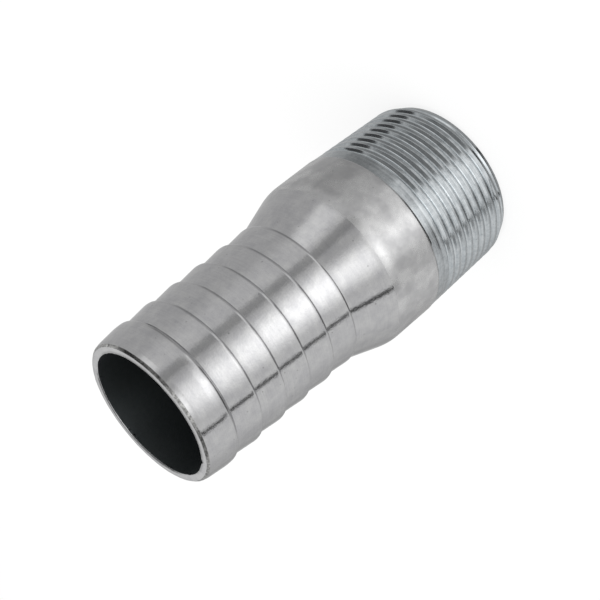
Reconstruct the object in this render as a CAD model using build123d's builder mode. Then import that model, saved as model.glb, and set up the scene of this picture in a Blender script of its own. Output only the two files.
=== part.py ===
from build123d import *
import os

os.makedirs("parts", exist_ok=True)

# Hose tail for 1-1/4 inch pipe and hose, made in one piece from a length of steel pipe. One end is turned
# to a taper for a male pipe thread. The other end is swaged down to a shank, and barbs are turned into it
# that let a hose slide on and hold it from sliding off.
# Sizes are in millimetres. The origin is the centre of the threaded end's face, and +Z runs along the bore
# to the open end of the barbed shank.

# Pipe, left plain between the thread and the neck
pipe_od = 42.16
pipe_wall = 3.55
plain_length = 12.5

# Threaded end: the cone that the crests of the pipe thread lie on
thread_length = 25.4
thread_taper = 1 / 16           # on the diameter
shoulder_depth = 0.12           # radial step from the plain pipe down to the thread
lead_length = 3.0               # chamfer that starts the thread
lead_depth = 1.4

# Neck, where the pipe is swaged down
neck_length = 11.1
neck_step = 0.6                 # radial step from the last barb's edge down to the neck's small end
neck_blend = 6.0                # radius where the cone meets the pipe
bore_blend = 6.0                # radii at both ends of the cone inside

# Barbed shank: a collar at the open end, then equal barbs
shank_wall = 2.1                # at the barb roots
barb_count = 5
barb_pitch = 7.08
barb_tip_od = 36.1
barb_depth = 0.7                # radial step at each barb's edge
barb_land = 0.3                 # full-diameter land behind each barb's edge
barb_root_bevel = 0.35          # left by the tool's nose in each root
collar_length = 7.8
nose_depth = 0.5                # radial taper of the collar towards the open end
collar_relief_length = 1.8      # soft edge at the back of the collar
collar_relief_depth = 0.15
rim_length = 1.35               # bevel round the open end
rim_depth = 0.4
edge_break = 0.3                # deburred edges of the bore at both ends

# Heights
neck_base = thread_length + plain_length
shank_base = neck_base + neck_length
collar_base = shank_base + barb_count * barb_pitch
total_length = collar_base + collar_length

# Radii
pipe_radius = pipe_od / 2
pipe_bore_radius = pipe_radius - pipe_wall
thread_radius = pipe_radius - shoulder_depth
lead_radius = thread_radius - thread_taper / 2 * (thread_length - lead_length)
barb_radius = barb_tip_od / 2
root_radius = barb_radius - barb_depth
neck_radius = barb_radius - neck_step
shank_bore_radius = root_radius - shank_wall
nose_radius = barb_radius - nose_depth
rim_radius = nose_radius - rim_depth
cut_radius = barb_radius + barb_depth          # clear of the shank, so that each groove opens outwards


def corner(sketch, radius, height):
    """The corner of a half section that lies at this radius and height."""
    return sketch.vertices().sort_by_distance((radius, height))[0]


with BuildPart() as hose_tail:
    # The swaged pipe with its thread cone and collar, before the barbs are cut
    with BuildSketch(Plane.XZ) as blank:
        with BuildLine():
            Polyline(
                (lead_radius - lead_depth, 0),
                (lead_radius, lead_length),
                (thread_radius, thread_length),
                (pipe_radius, thread_length),
                (pipe_radius, neck_base),
                (neck_radius, shank_base),
                (barb_radius, shank_base),
                (barb_radius, collar_base + collar_relief_length),
                (nose_radius, total_length - rim_length),
                (rim_radius, total_length),
                (shank_bore_radius, total_length),
                (shank_bore_radius, shank_base),
                (pipe_bore_radius, neck_base),
                (pipe_bore_radius, 0),
                close=True,
            )
        make_face()
        # Smooth bends that the swaging leaves in the wall, outside and inside
        fillet(corner(blank, pipe_radius, neck_base), radius=neck_blend)
        fillet(corner(blank, pipe_bore_radius, neck_base), radius=bore_blend)
        fillet(corner(blank, shank_bore_radius, shank_base), radius=bore_blend)
        # Root behind the last barb, and the bore's edges
        chamfer(corner(blank, neck_radius, shank_base), length=min(barb_root_bevel, neck_step / 2))
        chamfer(corner(blank, shank_bore_radius, total_length), length=edge_break)
        chamfer(corner(blank, pipe_bore_radius, 0), length=edge_break)
    revolve(axis=Axis.Z)

    # Barb grooves: each is deepest behind the edge of the barb above it, and runs out to the full
    # diameter just before its own barb's edge
    with BuildSketch(Plane.XZ) as grooves:
        for barb in range(barb_count):
            top = collar_base - barb * barb_pitch
            foot = top - barb_pitch + barb_land
            with BuildLine():
                Polyline(
                    (root_radius, top),
                    (cut_radius, top),
                    (cut_radius, foot),
                    (barb_radius, foot),
                    close=True,
                )
            make_face()
        roots = grooves.vertices().group_by(Axis.X)[0]
        chamfer(roots, length=min(barb_root_bevel, barb_depth / 2))
    revolve(axis=Axis.Z, mode=Mode.SUBTRACT)

    # Relief that softens the back edge of the collar
    with BuildSketch(Plane.XZ):
        with BuildLine():
            Polyline(
                (barb_radius - collar_relief_depth, collar_base),
                (cut_radius, collar_base),
                (cut_radius, collar_base + collar_relief_length),
                (barb_radius, collar_base + collar_relief_length),
                close=True,
            )
        make_face()
    revolve(axis=Axis.Z, mode=Mode.SUBTRACT)

hose_tail.part.label = "hose_tail"
export_step(hose_tail.part, "parts/hose_tail.step")
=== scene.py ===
import math

import bmesh
import bpy
import numpy as np
from mathutils import Matrix


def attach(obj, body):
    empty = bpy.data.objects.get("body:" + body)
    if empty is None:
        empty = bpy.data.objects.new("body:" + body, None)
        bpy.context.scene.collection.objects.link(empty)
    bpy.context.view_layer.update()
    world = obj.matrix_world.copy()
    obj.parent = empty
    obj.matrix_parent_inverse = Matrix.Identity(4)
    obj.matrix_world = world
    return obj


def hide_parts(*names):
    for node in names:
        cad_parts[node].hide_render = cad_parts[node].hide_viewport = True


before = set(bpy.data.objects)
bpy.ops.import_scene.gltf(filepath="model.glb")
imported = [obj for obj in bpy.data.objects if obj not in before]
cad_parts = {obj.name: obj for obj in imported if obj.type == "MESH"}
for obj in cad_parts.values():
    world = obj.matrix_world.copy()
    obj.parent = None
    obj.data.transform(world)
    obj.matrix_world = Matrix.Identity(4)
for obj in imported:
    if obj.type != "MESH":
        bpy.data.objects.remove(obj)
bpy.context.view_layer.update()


# ---------------------------------------------------------------- hose tail
# A length of steel pipe with one end swaged down to the hose's bore. That end is turned with
# five barbs and a collar, and the other has a taper pipe thread cut by a die. The whole is
# zinc plated after machining. It is one piece of steel, and one mesh here.
MM = 0.001                  # the sizes of the tail are in millimetres, and its mesh in metres
overall = 92.2
pipe_radius = 21.08
pipe_bore = 17.53
shank_bore = 15.25

thread_top = 25.4           # where the shoulder ends the threaded length
thread_pitch = 2.209        # 11.5 threads to the inch
thread_slope = 1 / 32       # radius per height of the 1 in 16 taper
shoulder_bevel = 0.22
crest_radius = 20.96        # of the crests at the shoulder
groove_depth = 0.62
groove_mouth = 1.50         # width between the crests
groove_start = -0.12        # height of a groove's middle where the first turn begins
groove_softness = 0.015     # over which its lips and the corners of its root are rounded
lead_height = 3.0           # the die's lead: a cone that cuts the first crests away
lead_radius = 18.86         # of that cone at the end face
lead_skin = 0.02            # by which the metal stands over that cone
entry_height = 1.5          # over which the grooves are deeper below the lead's top
entry_gain = 0.8            # and how much deeper they get, as a share
runout_top = 24.6           # the grooves grow shallow below this height, as the die left them
runout_height = 3.0
runout_power = 4
thread_edge = 0.3           # edge break of the bore at the threaded end

neck_foot = 37.9            # where the swaged neck leaves the pipe
shank_foot = 49.0           # where it meets the barbed shank
neck_small = 17.45
neck_blend = 1.9

barb_pitch = 7.08
barb_count = 5
barb_tip = 18.05
barb_root = 17.35
barb_ease = 0.5             # length over which a ramp eases off at its edge
barb_fall = 0.07            # and how far it falls there
barb_hollow = 0.1           # depth that the tool left under the start of a ramp
barb_step = 0.05            # depth below the edge at which the drop ends
barb_floor = 0.33           # depth below the edge at which the hollow ends
barb_bevel = 0.35           # and at which its bevel would end if it weren't hollow

collar_foot = 84.4
collar_full = 86.3          # where the collar's ramp has reached its full radius
collar_fall = 0.12
collar_hollow = 0.2
rim_start = 90.85
nose_radius = 17.55         # of the collar where its edge begins
bevel_start = 91.7          # a sharper bevel ends the collar
rim_radius = 17.3
bevel_radius = 16.8
open_edge = 0.12            # edge break of the bore at the open end
open_edge_zone = 0.7        # length of bore that the wandering edge may move

longest_outside = 1.2       # longest straight between two rows of the mesh
longest_inside = 4.0
small_reach = 0.2           # a corner that reaches no further than this gets fewer rows
columns = 208

turn = np.linspace(0.0, 2.0 * np.pi, columns + 1)       # the last column closes on the first


def soft_profile(corners, longest):
    """A half section as rows of (height, radius).

    Each corner (height, radius, reach) becomes a parabola that leaves both of its straights at
    `reach` from the corner, and straights longer than `longest` are divided evenly.
    """
    points = [np.array(corners[0][:2])]
    for before, (*spot, reach), after in zip(corners, corners[1:], corners[2:]):
        here = np.array(spot)
        back = np.array(before[:2]) - here
        ahead = np.array(after[:2]) - here
        start = here + back / np.linalg.norm(back) * reach
        end = here + ahead / np.linalg.norm(ahead) * reach
        count = (7 if reach > small_reach else 5) if reach else 1
        share = np.linspace(0.0, 1.0, count)[:, None]
        points.extend((1 - share) ** 2 * start + 2 * share * (1 - share) * here + share**2 * end)
    points.append(np.array(corners[-1][:2]))
    path = np.array(points)
    steps = np.maximum(1, np.ceil(np.hypot(*np.diff(path, axis=0).T) / longest)).astype(int)
    stops = np.concatenate([[0], np.cumsum(steps)])
    rows = np.arange(stops[-1] + 1)
    return np.column_stack([np.interp(rows, stops, path[:, 0]), np.interp(rows, stops, path[:, 1])])


def rings(profile):
    """The rows of a half section turned about the axis, as arrays of heights and radii."""
    return [np.repeat(profile[:, k, None], turn.size, axis=1) for k in (0, 1)]


def softened(value, softness):
    """The larger of `value` and 0 with a rounded bend: softness * ln(1 + e^(value / softness))."""
    return np.logaddexp(0, value / softness) * softness


def thread_rows():
    """The threaded length, with rows that follow the grooves.

    A row starts at its own height and climbs one pitch in a turn, held between the end face and
    the shoulder. Its radius is the taper's, less a groove with flanks at 45 degrees and a flat
    root, which fades out under the shoulder, and never more than the lead's.
    """
    half = np.array([0.0, 0.14, 0.26, 0.66, 0.73, 0.765, 0.83])     # root, flank and lip
    across = np.concatenate([[-1.1], -half[:0:-1], half])           # after the middle of a crest
    first = groove_start - thread_pitch * np.ceil(groove_start / thread_pitch + 1)
    count = int(np.ceil((thread_top - first) / thread_pitch)) + 1
    starts = (first + thread_pitch * np.arange(count)[:, None] + across).ravel()
    starts = starts[(starts > -thread_pitch) & (starts < thread_top)][::-1]
    starts = np.append(starts, -thread_pitch)                       # a last row on the end face
    height = np.clip(starts[:, None] + thread_pitch * turn / (2 * np.pi), 0.0, thread_top)

    half_pitch = thread_pitch / 2
    offset = np.abs((starts[:, None] - groove_start + half_pitch) % thread_pitch - half_pitch)
    flank = softened(groove_mouth / 2 - offset, groove_softness)
    cut = groove_depth - softened(groove_depth - flank, groove_softness)
    runout = np.clip((runout_top - height) / runout_height, 0, 1) ** runout_power
    entry = 1 + entry_gain * np.clip((lead_height - height) / entry_height, 0, 1)
    cut = cut * runout * entry

    crest = crest_radius - (thread_top - height) * thread_slope
    lead_top = crest_radius - (thread_top - lead_height) * thread_slope
    lead = lead_radius + (lead_top - lead_radius) * height / lead_height
    left = np.maximum(cut - np.maximum(crest - lead, 0), 0)     # of the groove inside the lead
    return height, np.minimum(crest, lead + lead_skin) - left


def barb_edge(edge, fall, hollow):
    """Corners of a barb's edge: the ramp eases off by `fall` over the ease's length, then drops
    into a root that is `hollow` deeper than the start of the next ramp."""
    return [(edge + barb_ease, barb_tip, barb_ease * 0.5),
            (edge, barb_tip - fall, fall),
            (edge - barb_step, barb_root - hollow, 0.1),
            (edge - barb_floor, barb_root - hollow, 0.05),
            (edge - barb_bevel - 1.2 * hollow, barb_root + 0.02, 0.05)]


outside = [(overall, shank_bore + open_edge, 0.0),
           (overall, bevel_radius, 0.05),
           (bevel_start, rim_radius, 0.08),
           (rim_start, nose_radius, 0.45),
           (collar_full, barb_tip + 0.01, 0.8)]
outside += barb_edge(collar_foot, collar_fall, collar_hollow)
for number in range(barb_count - 1, 0, -1):
    outside += barb_edge(shank_foot + barb_pitch * number, barb_fall, barb_hollow)
outside += [(shank_foot + barb_ease, barb_tip, barb_ease * 0.5),
            (shank_foot, barb_tip - barb_fall, barb_fall),
            (shank_foot - barb_step, neck_small, 0.25),
            (neck_foot, pipe_radius, neck_blend),
            (thread_top + shoulder_bevel, pipe_radius, 0.15),
            (thread_top, crest_radius, 0.0)]
inside = [(0.0, lead_radius, 0.0),
          (0.0, pipe_bore + thread_edge, 0.1),
          (thread_edge, pipe_bore, 0.1),
          (neck_foot, pipe_bore, neck_blend),
          (shank_foot, shank_bore, neck_blend),
          (overall - open_edge_zone, shank_bore, 0.05),
          (overall - open_edge, shank_bore, 0.05),
          (overall, shank_bore + open_edge, 0.0)]
stretches = [rings(soft_profile(outside, longest_outside)), thread_rows(),
             rings(soft_profile(inside, longest_inside)[1:-1])]
height = np.vstack([stretch[0] for stretch in stretches])
radius = np.vstack([stretch[1] for stretch in stretches])

# The open end was faced by hand. Its edges wander by a sum of sines round the end, within
# `edge_reach` of the edge, and the bore's edge has one nick, a narrow bell curve.
chatter_waves = (5, 13, 19, 31, 47, 61)
chatter_depth = 0.10
nick_depth = 0.45
nick_place = math.radians(205)
nick_width = 0.035
edge_reach = 0.3
chatter = sum(np.sin(turn * waves + waves * waves) for waves in chatter_waves) / len(chatter_waves)
nick = np.exp(-(((turn - nick_place) / nick_width) ** 2))
from_bore = (radius - shank_bore) / edge_reach
from_bevel = (radius - bevel_radius - 0.1) / edge_reach
at_bore = np.exp(-(from_bore**2)) * (height > overall - 0.2)
at_bevel = np.exp(-(from_bevel**2)) * (height > bevel_start - 0.1)
radius = (radius + at_bore * (chatter_depth * chatter + nick_depth * nick)
          + at_bevel * chatter_depth * chatter[::-1])

vertices = np.stack([radius * np.cos(turn), radius * np.sin(turn), height], axis=-1)
vertices = vertices.reshape(-1, 3) * MM
row, column = np.meshgrid(np.arange(height.shape[0]), np.arange(columns), indexing="ij")
below = (row + 1) % height.shape[0]         # the last row of the bore closes on the first outside
here = row * turn.size + column
there = below * turn.size + column
quads = np.stack([here, there, there + 1, here + 1], axis=-1).reshape(-1, 4)

mesh = bpy.data.meshes.new("hose_tail_plated")
mesh.from_pydata(vertices, [], quads)
mesh.update()
shell = bmesh.new()
shell.from_mesh(mesh)
bmesh.ops.remove_doubles(shell, verts=shell.verts, dist=1e-7)
shell.to_mesh(mesh)
shell.free()
mesh.shade_smooth()
hose_tail = bpy.data.objects.new("hose_tail_plated", mesh)
bpy.context.scene.collection.objects.link(hose_tail)


def linear(code):
    """The linear colour of an sRGB hex code: the sRGB curve undone, channel by channel."""
    value = np.array([int(code[i:i + 2], 16) for i in (1, 3, 5)]) / 255
    return (*np.where(value <= 0.04045, value / 12.92, ((value + 0.055) / 1.055) ** 2.4), 1.0)


def add_node(tree, kind, inputs, **settings):
    """Adds a node, sets it up, and sets or links each input by its name or number."""
    made = tree.nodes.new(kind)
    for name, value in settings.items():
        setattr(made, name, value)
    for key, value in inputs.items():
        if isinstance(value, bpy.types.NodeSocket):
            tree.links.new(value, made.inputs[key])
        else:
            made.inputs[key].default_value = value
    return made


# Zinc plate, electroplated bright over machined steel. Its tone drifts in clouds of two close
# greys, tool marks run round the part, the plate has a fine orange peel, and a few small dark
# spots show where it took badly. The marks are far finer on the real one than 0.3 mm, which is
# the least that shows.
mark_pitch = 0.3            # between marks along the axis
mark_length = 50 / 3        # of a mark round the part
peel_size = 0.7
spot_cell = 1.2             # one spot at most in a cell of this size
spot_radius = 0.2           # of the largest, as a share of the cell
spot_edge = 0.09            # width of its soft edge, likewise
spot_strength = 0.4
stain = "#5e5f5c"


def zinc_plate(name, light, dark, roughness, drawn_out, cloud_size, peel_depth, mark_depth, spots,
               streaks):
    """A finish of zinc plate.

    The tone goes from `dark` to `light` with noise of `cloud_size`, of which a share `streaks`
    comes from the tool marks. `drawn_out` stretches the gleam across the marks, the bump is
    `mark_depth` of marks plus `peel_depth` of peel, and a share `spots` of the cells has a spot.
    Sizes and depths are in millimetres.
    """
    material = bpy.data.materials.new(name)
    material.use_nodes = True
    tree = material.node_tree
    tree.nodes.clear()
    place = add_node(tree, "ShaderNodeTexCoord", {}).outputs["Object"]
    cloud = add_node(tree, "ShaderNodeTexNoise",
                     {"Vector": place, "Scale": 1 / (cloud_size * MM), "Detail": 4.0,
                      "Roughness": 0.6})
    along = 1 / (mark_length * MM)
    ring = add_node(tree, "ShaderNodeMapping",
                    {"Vector": place, "Scale": (along, along, 1 / (mark_pitch * MM))},
                    vector_type="POINT")
    marks = add_node(tree, "ShaderNodeTexNoise",
                     {"Vector": ring.outputs[0], "Scale": 1.0, "Detail": 3.0, "Roughness": 0.7})
    both = add_node(tree, "ShaderNodeMix",
                    {0: streaks, 2: cloud.outputs["Fac"], 3: marks.outputs["Fac"]},
                    data_type="FLOAT")
    tint = add_node(tree, "ShaderNodeMapRange",
                    {"Value": both.outputs[0], "From Min": 0.35, "From Max": 0.65})
    plate = add_node(tree, "ShaderNodeMix",
                     {0: tint.outputs["Result"], 6: linear(dark), 7: linear(light)},
                     data_type="RGBA")

    cell = add_node(tree, "ShaderNodeTexVoronoi",
                    {"Vector": place, "Scale": 1 / (spot_cell * MM), "Randomness": 1.0})
    chance = add_node(tree, "ShaderNodeSeparateColor", {0: cell.outputs["Color"]})
    size = add_node(tree, "ShaderNodeMapRange",
                    {"Value": chance.outputs[0], "From Min": 1 - spots, "From Max": 1.0,
                     "To Min": 0.0, "To Max": spot_radius})
    within = add_node(tree, "ShaderNodeMath",
                      {0: size.outputs["Result"], 1: cell.outputs["Distance"]},
                      operation="SUBTRACT")
    spot = add_node(tree, "ShaderNodeMapRange",
                    {"Value": within.outputs[0], "From Min": 0.0, "From Max": spot_edge,
                     "To Min": 0.0, "To Max": spot_strength})
    stained = add_node(tree, "ShaderNodeMix",
                       {0: spot.outputs["Result"], 6: plate.outputs[2], 7: linear(stain)},
                       data_type="RGBA")

    peel = add_node(tree, "ShaderNodeTexNoise",
                    {"Vector": place, "Scale": 1 / (peel_size * MM), "Detail": 4.0,
                     "Roughness": 0.65})
    turned = add_node(tree, "ShaderNodeBump",
                      {"Height": marks.outputs["Fac"], "Strength": 1.0,
                       "Distance": mark_depth * MM})
    peeled = add_node(tree, "ShaderNodeBump",
                      {"Height": peel.outputs["Fac"], "Strength": 1.0, "Distance": peel_depth * MM,
                       "Normal": turned.outputs["Normal"]})
    dull = add_node(tree, "ShaderNodeMapRange",
                    {"Value": cloud.outputs["Fac"], "From Min": 0.3, "From Max": 0.7,
                     "To Min": roughness * 1.1, "To Max": roughness * 0.9})
    metal = add_node(tree, "ShaderNodeBsdfPrincipled",
                     {"Base Color": stained.outputs[2], "Metallic": 1.0,
                      "Roughness": dull.outputs["Result"], "Normal": peeled.outputs["Normal"],
                      "Anisotropic": drawn_out, "Anisotropic Rotation": 0.25})
    add_node(tree, "ShaderNodeOutputMaterial", {"Surface": metal.outputs["BSDF"]})
    return material


finishes = [
    # turned barbs, collar and neck: bright, with a gleam drawn out along the part
    zinc_plate("zinc_plate_turned", light="#c7c7c7", dark="#b6b6b8", roughness=0.14, drawn_out=0.75,
               cloud_size=2.5, peel_depth=0.015, mark_depth=0.002, spots=0.35, streaks=0.3),
    # the pipe's own drawn skin: softer and cloudier
    zinc_plate("zinc_plate_drawn", light="#cfcfcf", dark="#b7b7b8", roughness=0.28, drawn_out=0.3,
               cloud_size=4.0, peel_depth=0.004, mark_depth=0.0, spots=0.2, streaks=0.0),
    # the thread's crests: a bluer grey with streaks from the die
    zinc_plate("zinc_plate_crest", light="#c4c8ca", dark="#9fa4a7", roughness=0.13, drawn_out=0.4,
               cloud_size=1.0, peel_depth=0.010, mark_depth=0.002, spots=0.4, streaks=0.5),
    # its flanks and roots: the same, in a lighter grey that is painted light, to make up for the
    # shade the grooves throw on themselves
    zinc_plate("zinc_plate_flank_painted_light", light="#d6dadc", dark="#b0b7bb", roughness=0.12, drawn_out=0.4,
               cloud_size=1.0, peel_depth=0.008, mark_depth=0.001, spots=0.4, streaks=0.5),
    # the bevel of the open end: filed, in patches of bright and dark
    zinc_plate("zinc_plate_bevel", light="#cfcfcd", dark="#6a6a69", roughness=0.22, drawn_out=0.0,
               cloud_size=0.7, peel_depth=0.02, mark_depth=0.0, spots=0.5, streaks=0.0),
    # the bore: dull, in a dark grey that is painted shade, for the shade inside it
    zinc_plate("zinc_plate_bore_painted_shade", light="#7c8284", dark="#686e70", roughness=0.4, drawn_out=0.0,
               cloud_size=4.0, peel_depth=0.006, mark_depth=0.0, spots=0.05, streaks=0.0)]
for finish in finishes:
    mesh.materials.append(finish)
turned, drawn, crest, flank, bevel, bore = range(len(finishes))

# Each face takes its finish from where its centre lies.
drawn_end = neck_foot + 0.8
lead_rise = 0.49            # a little over the lead's own slope, so that the lead counts as crest
centres = np.empty(len(mesh.polygons) * 3)
mesh.polygons.foreach_get("center", centres)
x, y, z = centres.reshape(-1, 3).T / MM
out = np.hypot(x, y)
in_bore = out < np.interp(z, [neck_foot, shank_foot, overall - 0.3, overall - 0.1],
                          [pipe_bore + 0.1, shank_bore + 0.02, shank_bore + 0.02, 0])
crests = np.minimum(crest_radius - (thread_top - z) * thread_slope, lead_radius + lead_rise * z)
in_groove = (z < thread_top) & (out < crests - 0.05)
on_bevel = (z > bevel_start - 0.02) & (out > bevel_radius + 0.02)
chosen = np.select([in_bore, in_groove, z < thread_top, z < drawn_end, on_bevel],
                   [bore, flank, crest, drawn, bevel], turned)
mesh.polygons.foreach_set("material_index", chosen.astype(np.int32))
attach(hose_tail, "root")
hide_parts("hose_tail")


# ---------------------------------------------------------------- table
# A sheet of matt white laminate that the tail stands on. The camera sees it as plain white, and
# it still takes the tail's shadow. It isn't part of the object.
half_table = 3.0
table_glow = 1.06           # strength of the white that the camera sees
table_glow_share = 0.75     # and how much of its look that is; the rest takes light and shadow
table = bpy.data.meshes.new("table")
table.from_pydata([(-half_table, -half_table, 0), (half_table, -half_table, 0),
                   (half_table, half_table, 0), (-half_table, half_table, 0)], [], [(0, 1, 2, 3)])
floor = bpy.data.objects.new("table", table)
bpy.context.scene.collection.objects.link(floor)

white = bpy.data.materials.new("matt_white_laminate")
white.use_nodes = True
tree = white.node_tree
tree.nodes.clear()
matt = add_node(tree, "ShaderNodeBsdfDiffuse", {"Color": linear("#e6e6e6")})
glow = add_node(tree, "ShaderNodeEmission", {"Strength": table_glow})
path = add_node(tree, "ShaderNodeLightPath", {})
seen = add_node(tree, "ShaderNodeMath", {0: path.outputs["Is Camera Ray"], 1: table_glow_share},
                operation="MULTIPLY")
laminate = add_node(tree, "ShaderNodeMixShader",
                    {0: seen.outputs[0], 1: matt.outputs[0], 2: glow.outputs[0]})
add_node(tree, "ShaderNodeOutputMaterial", {"Surface": laminate.outputs[0]})
table.materials.append(white)
floor.visible_glossy = False
floor.visible_shadow = False


# ---------------------------------------------------------------- light tent
# A tent of white cloth with bright and dark cards hung in it, which only the metal reflects, and
# plain white for everything else. Each card adds its radiance inside a window of azimuth and
# elevation whose edges fall off smoothly, and the sum never goes below nought.
tent_radiance = 0.70
# radiance; then azimuth from the camera's side towards +X, half width and soft edge; then
# elevation, half height and soft edge, all in degrees
cards = [
    # the big window beside the camera, brighter the higher it is
    (1.00, -17, 1, 36, -30, 14, 8),
    (0.95, -17, 1, 36, -14, 8, 8),
    (1.45, -19, 1, 28, 16, 12, 8),
    (0.40, -24, 8, 24, -38, 5, 4),
    # softer walls to its left and right
    (0.34, -80, 12, 50, -4, 32, 8),
    (0.45, 18, 10, 10, -34, 7, 4),
    (0.18, 45, 5, 30, -8, 30, 12),
    (0.40, 52, 6, 14, 8, 8, 8),
    (0.35, 180, 40, 20, 28, 8, 6),
    # the seams between walls, which show as thin dark lines along the part
    (-1.00, -66, 1.8, 1.6, -2, 21.5, 3.5),
    (-0.55, -66, 1.5, 1.4, 14, 12, 4),
    (-0.60, -66, 1.7, 1.6, 31, 5, 3),
    (-0.80, -78, 2.0, 1.8, 48, 7, 3),
    (-0.29, 25, 4, 5, -2, 21, 3.5),
    # shade low on the right and far left
    (-0.20, 70, 32, 14, -37, 4, 4),
    (-0.08, 90, 30, 20, -34, 7, 4),
    (-0.16, -154, 4, 10, -20, 16, 6),
    # the dark opening underneath
    (-0.50, -34, 38, 12, -90, 50, 4),
    (-0.14, 0, 180, 1, -90, 50, 4),
    # the slope of the roof and what hangs from it, which the thread's flanks reflect
    (-0.36, 0, 180, 1, 54, 16, 8),
    (0.95, -36, 34, 12, 56, 14, 6),
    (-0.07, 52, 30, 16, 52, 16, 6),
    (-0.35, 44, 14, 12, 30, 5, 5),
    (-0.62, 103, 10, 3, 36, 18, 4),
    # the bright top of the roof
    (0.90, 0, 180, 1, 90, 8, 6)]

world = bpy.data.worlds.new("light_tent")
bpy.context.scene.world = world
world.use_nodes = True
tree = world.node_tree
tree.nodes.clear()
direction = add_node(tree, "ShaderNodeTexCoord", {}).outputs["Generated"]
facing = add_node(tree, "ShaderNodeSeparateXYZ", {0: direction})
front = add_node(tree, "ShaderNodeMath", {0: facing.outputs["Y"], 1: -1.0}, operation="MULTIPLY")
to_degrees = 180 / math.pi
azimuth = add_node(tree, "ShaderNodeMath", {0: facing.outputs["X"], 1: front.outputs[0]},
                   operation="ARCTAN2")
azimuth = add_node(tree, "ShaderNodeMath", {0: azimuth.outputs[0], 1: to_degrees},
                   operation="MULTIPLY")
elevation = add_node(tree, "ShaderNodeMath", {0: facing.outputs["Z"]}, operation="ARCSINE")
elevation = add_node(tree, "ShaderNodeMath", {0: elevation.outputs[0], 1: to_degrees},
                     operation="MULTIPLY")

total = tent_radiance
for radiance, *window in cards:
    shares = []
    for angle, (middle, half, soft) in ((azimuth, window[:3]), (elevation, window[3:])):
        away = add_node(tree, "ShaderNodeMath", {0: angle.outputs[0], 1: float(middle)},
                        operation="SUBTRACT")
        if angle is azimuth:
            away = add_node(tree, "ShaderNodeMath", {0: away.outputs[0], 1: 180.0, 2: -180.0},
                            operation="WRAP")
        away = add_node(tree, "ShaderNodeMath", {0: away.outputs[0]}, operation="ABSOLUTE")
        shares.append(add_node(tree, "ShaderNodeMapRange",
                               {"Value": away.outputs[0], "From Min": float(half),
                                "From Max": float(half + soft), "To Min": 1.0, "To Max": 0.0},
                               interpolation_type="SMOOTHSTEP").outputs[0])
    card = add_node(tree, "ShaderNodeMath", {0: shares[0], 1: shares[1]}, operation="MULTIPLY")
    total = add_node(tree, "ShaderNodeMath", {0: card.outputs[0], 1: radiance, 2: total},
                     operation="MULTIPLY_ADD").outputs[0]
total = add_node(tree, "ShaderNodeMath", {0: total, 1: 0.0}, operation="MAXIMUM").outputs[0]
tent = add_node(tree, "ShaderNodeBackground", {"Strength": total})
plain = add_node(tree, "ShaderNodeBackground", {"Color": (1, 1, 1, 1), "Strength": 1.0})
path = add_node(tree, "ShaderNodeLightPath", {})
around = add_node(tree, "ShaderNodeMixShader",
                  {0: path.outputs["Is Glossy Ray"], 1: plain.outputs[0], 2: tent.outputs[0]})
add_node(tree, "ShaderNodeOutputWorld", {"Surface": around.outputs[0]})


# ---------------------------------------------------------------- softbox
# A round softbox of cloth over a lamp, hung high on the camera's left. It gives the table the
# tail's soft shadow, and the metal doesn't show it.
softbox_left, softbox_front, softbox_height = 0.25, 0.35, 1.0
lamp = bpy.data.lights.new("softbox", "AREA")
lamp.shape = "DISK"
lamp.size = 0.6
lamp.energy = 4.0
softbox = bpy.data.objects.new("softbox", lamp)
softbox.location = (-softbox_left, -softbox_front, softbox_height)
softbox.rotation_euler = (-math.atan2(softbox_front, softbox_height),
                          -math.atan2(softbox_left, softbox_height), 0)
softbox.visible_glossy = False
bpy.context.scene.collection.objects.link(softbox)


# ---------------------------------------------------------------- camera
# A long lens on a tripod, looking down on the standing tail. It is rolled, so that the tail
# lies across the view with its open end low on the left.
camera_place = (-0.00139, -0.27755, 0.19613)
camera_down = 28.007        # degrees below the level
camera_roll = -129.254
lens = bpy.data.cameras.new("camera")
lens.lens = 87.0
lens.sensor_width = 36.0
camera = bpy.data.objects.new("camera", lens)
bpy.context.scene.collection.objects.link(camera)
camera.matrix_world = (Matrix.Translation(camera_place)
                       @ Matrix.Rotation(math.radians(90 - camera_down), 4, "X")
                       @ Matrix.Rotation(math.radians(camera_roll), 4, "Z"))
bpy.context.scene.camera = camera
bpy.context.scene.view_settings.view_transform = "Standard"
